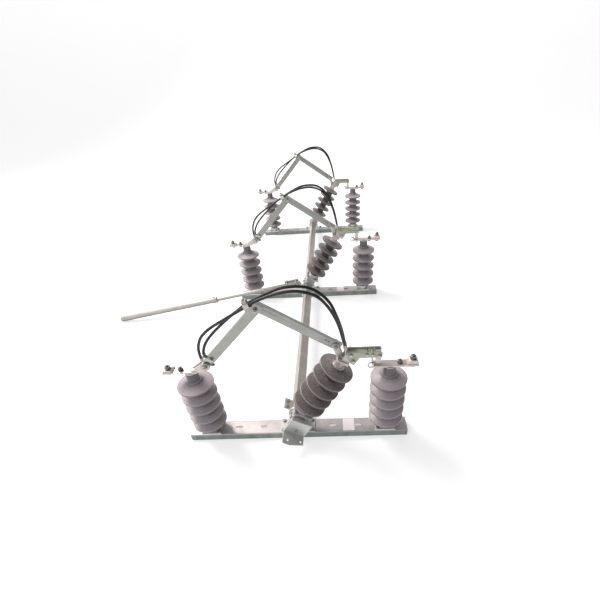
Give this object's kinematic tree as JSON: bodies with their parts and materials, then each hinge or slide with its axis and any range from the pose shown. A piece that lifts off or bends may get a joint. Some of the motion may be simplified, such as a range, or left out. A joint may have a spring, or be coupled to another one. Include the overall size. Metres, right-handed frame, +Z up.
{
  "type": "rocking-post disconnect switch",
  "caption": "Gang-operated substation disconnect switch, closed: phases on channel bases, rocking middle posts on one square shaft, folding arms, jumper cables and a lever.",
  "frame": {"origin": "centre of the middle channel's slots, on the top face of its web", "axes": "+X along the channels towards the posts that the blades close on, +Y along the shaft from the front phase to the back one, +Z up"},
  "size_m": [1.8261, 2.683, 0.7725],
  "materials": {
    "galvanised_channel": "hot-dip galvanised pressed steel channel",
    "galvanised_fittings": "hot-dip galvanised steel plate",
    "galvanised_shaft": "hot-dip galvanised square tube",
    "galvanised_lever": "hot-dip galvanised round tube",
    "post_polymer": "moulded silicone rubber sheds, grey with a mauve cast",
    "rocker_polymer": "moulded silicone rubber sheds, dark grey with a mauve cast",
    "cast_foot": "galvanised casting",
    "cast_cap": "sand-cast aluminium cap and head",
    "plated_terminal": "tin-plated flat bar",
    "passivated_blades": "yellow-green passivated plating on flat bar",
    "alloy_arm": "drawn rectangular tube, dull",
    "cable_jacket": "black extruded jacket"
  },
  "bodies": {
    "base": {"channel_front": "galvanised_channel", "channel_middle": "galvanised_channel", "channel_back": "galvanised_channel", "insulator_left_front": "post_polymer", "insulator_left_middle": "post_polymer", "insulator_left_back": "post_polymer", "insulator_right_front": "post_polymer", "insulator_right_middle": "post_polymer", "insulator_right_back": "post_polymer", "terminal_left_front": "plated_terminal", "terminal_left_middle": "plated_terminal", "terminal_left_back": "plated_terminal", "terminal_right_front": "plated_terminal", "terminal_right_middle": "plated_terminal", "terminal_right_back": "plated_terminal", "bearing_front": "galvanised_fittings", "bearing_middle": "galvanised_fittings", "bearing_back": "galvanised_fittings", "post_feet": "galvanised_fittings"},
    "rocker": {"shaft": "galvanised_shaft", "shaft_plates": "galvanised_fittings", "lever_bracket": "galvanised_fittings", "lever_rod": "galvanised_lever", "lever_pipe": "galvanised_lever", "rocker_foot_front": "cast_foot", "rocker_foot_middle": "cast_foot", "rocker_foot_back": "cast_foot", "rocker_insulator_front": "rocker_polymer", "rocker_insulator_middle": "rocker_polymer", "rocker_insulator_back": "rocker_polymer", "rocker_head_front": "cast_cap", "rocker_head_middle": "cast_cap", "rocker_head_back": "cast_cap", "contact_blades_front": "passivated_blades", "contact_blades_middle": "passivated_blades", "contact_blades_back": "passivated_blades"},
    "arm_right_front": {"arm_right_front": "alloy_arm", "cable_right_front": "cable_jacket"},
    "arm_left_front": {"arm_left_front": "alloy_arm", "cable_left_front": "cable_jacket"},
    "arm_right_middle": {"arm_right_middle": "alloy_arm", "cable_right_middle": "cable_jacket"},
    "arm_left_middle": {"arm_left_middle": "alloy_arm", "cable_left_middle": "cable_jacket"},
    "arm_right_back": {"arm_right_back": "alloy_arm", "cable_right_back": "cable_jacket"},
    "arm_left_back": {"arm_left_back": "alloy_arm", "cable_left_back": "cable_jacket"}
  },
  "joints": [
    {"name": "shaft_turn", "type": "hinge", "parent": "base", "child": "rocker", "pos_m": [0, 0, 0.054], "axis": [0, -1, 0], "range_deg": [0, 36]},
    {"name": "head_pivot_front", "type": "hinge", "parent": "rocker", "child": "arm_right_front", "pos_m": [0.188, -1.24, 0.467], "axis": [0, -1, 0], "range_deg": [-50.6, 0], "deforming": ["cable_right_front"]},
    {"name": "elbow_front", "type": "hinge", "parent": "arm_right_front", "child": "arm_left_front", "pos_m": [-0.086, -1.24, 0.656], "axis": [0, -1, 0], "range_deg": [0, 56.1], "deforming": ["cable_left_front"]},
    {"name": "head_pivot_middle", "type": "hinge", "parent": "rocker", "child": "arm_right_middle", "pos_m": [0.188, 0, 0.467], "axis": [0, -1, 0], "range_deg": [-50.6, 0], "deforming": ["cable_right_middle"]},
    {"name": "elbow_middle", "type": "hinge", "parent": "arm_right_middle", "child": "arm_left_middle", "pos_m": [-0.086, 0, 0.656], "axis": [0, -1, 0], "range_deg": [0, 56.1], "deforming": ["cable_left_middle"]},
    {"name": "head_pivot_back", "type": "hinge", "parent": "rocker", "child": "arm_right_back", "pos_m": [0.188, 1.24, 0.467], "axis": [0, -1, 0], "range_deg": [-50.6, 0], "deforming": ["cable_right_back"]},
    {"name": "elbow_back", "type": "hinge", "parent": "arm_right_back", "child": "arm_left_back", "pos_m": [-0.086, 1.24, 0.656], "axis": [0, -1, 0], "range_deg": [0, 56.1], "deforming": ["cable_left_back"]}
  ],
  "couplings": [
    {"joint": "head_pivot_front", "follows": "shaft_turn", "ratio": -1.403},
    {"joint": "elbow_front", "follows": "shaft_turn", "ratio": 1.557},
    {"joint": "head_pivot_middle", "follows": "shaft_turn", "ratio": -1.403},
    {"joint": "elbow_middle", "follows": "shaft_turn", "ratio": 1.557},
    {"joint": "head_pivot_back", "follows": "shaft_turn", "ratio": -1.403},
    {"joint": "elbow_back", "follows": "shaft_turn", "ratio": 1.557}
  ]
}
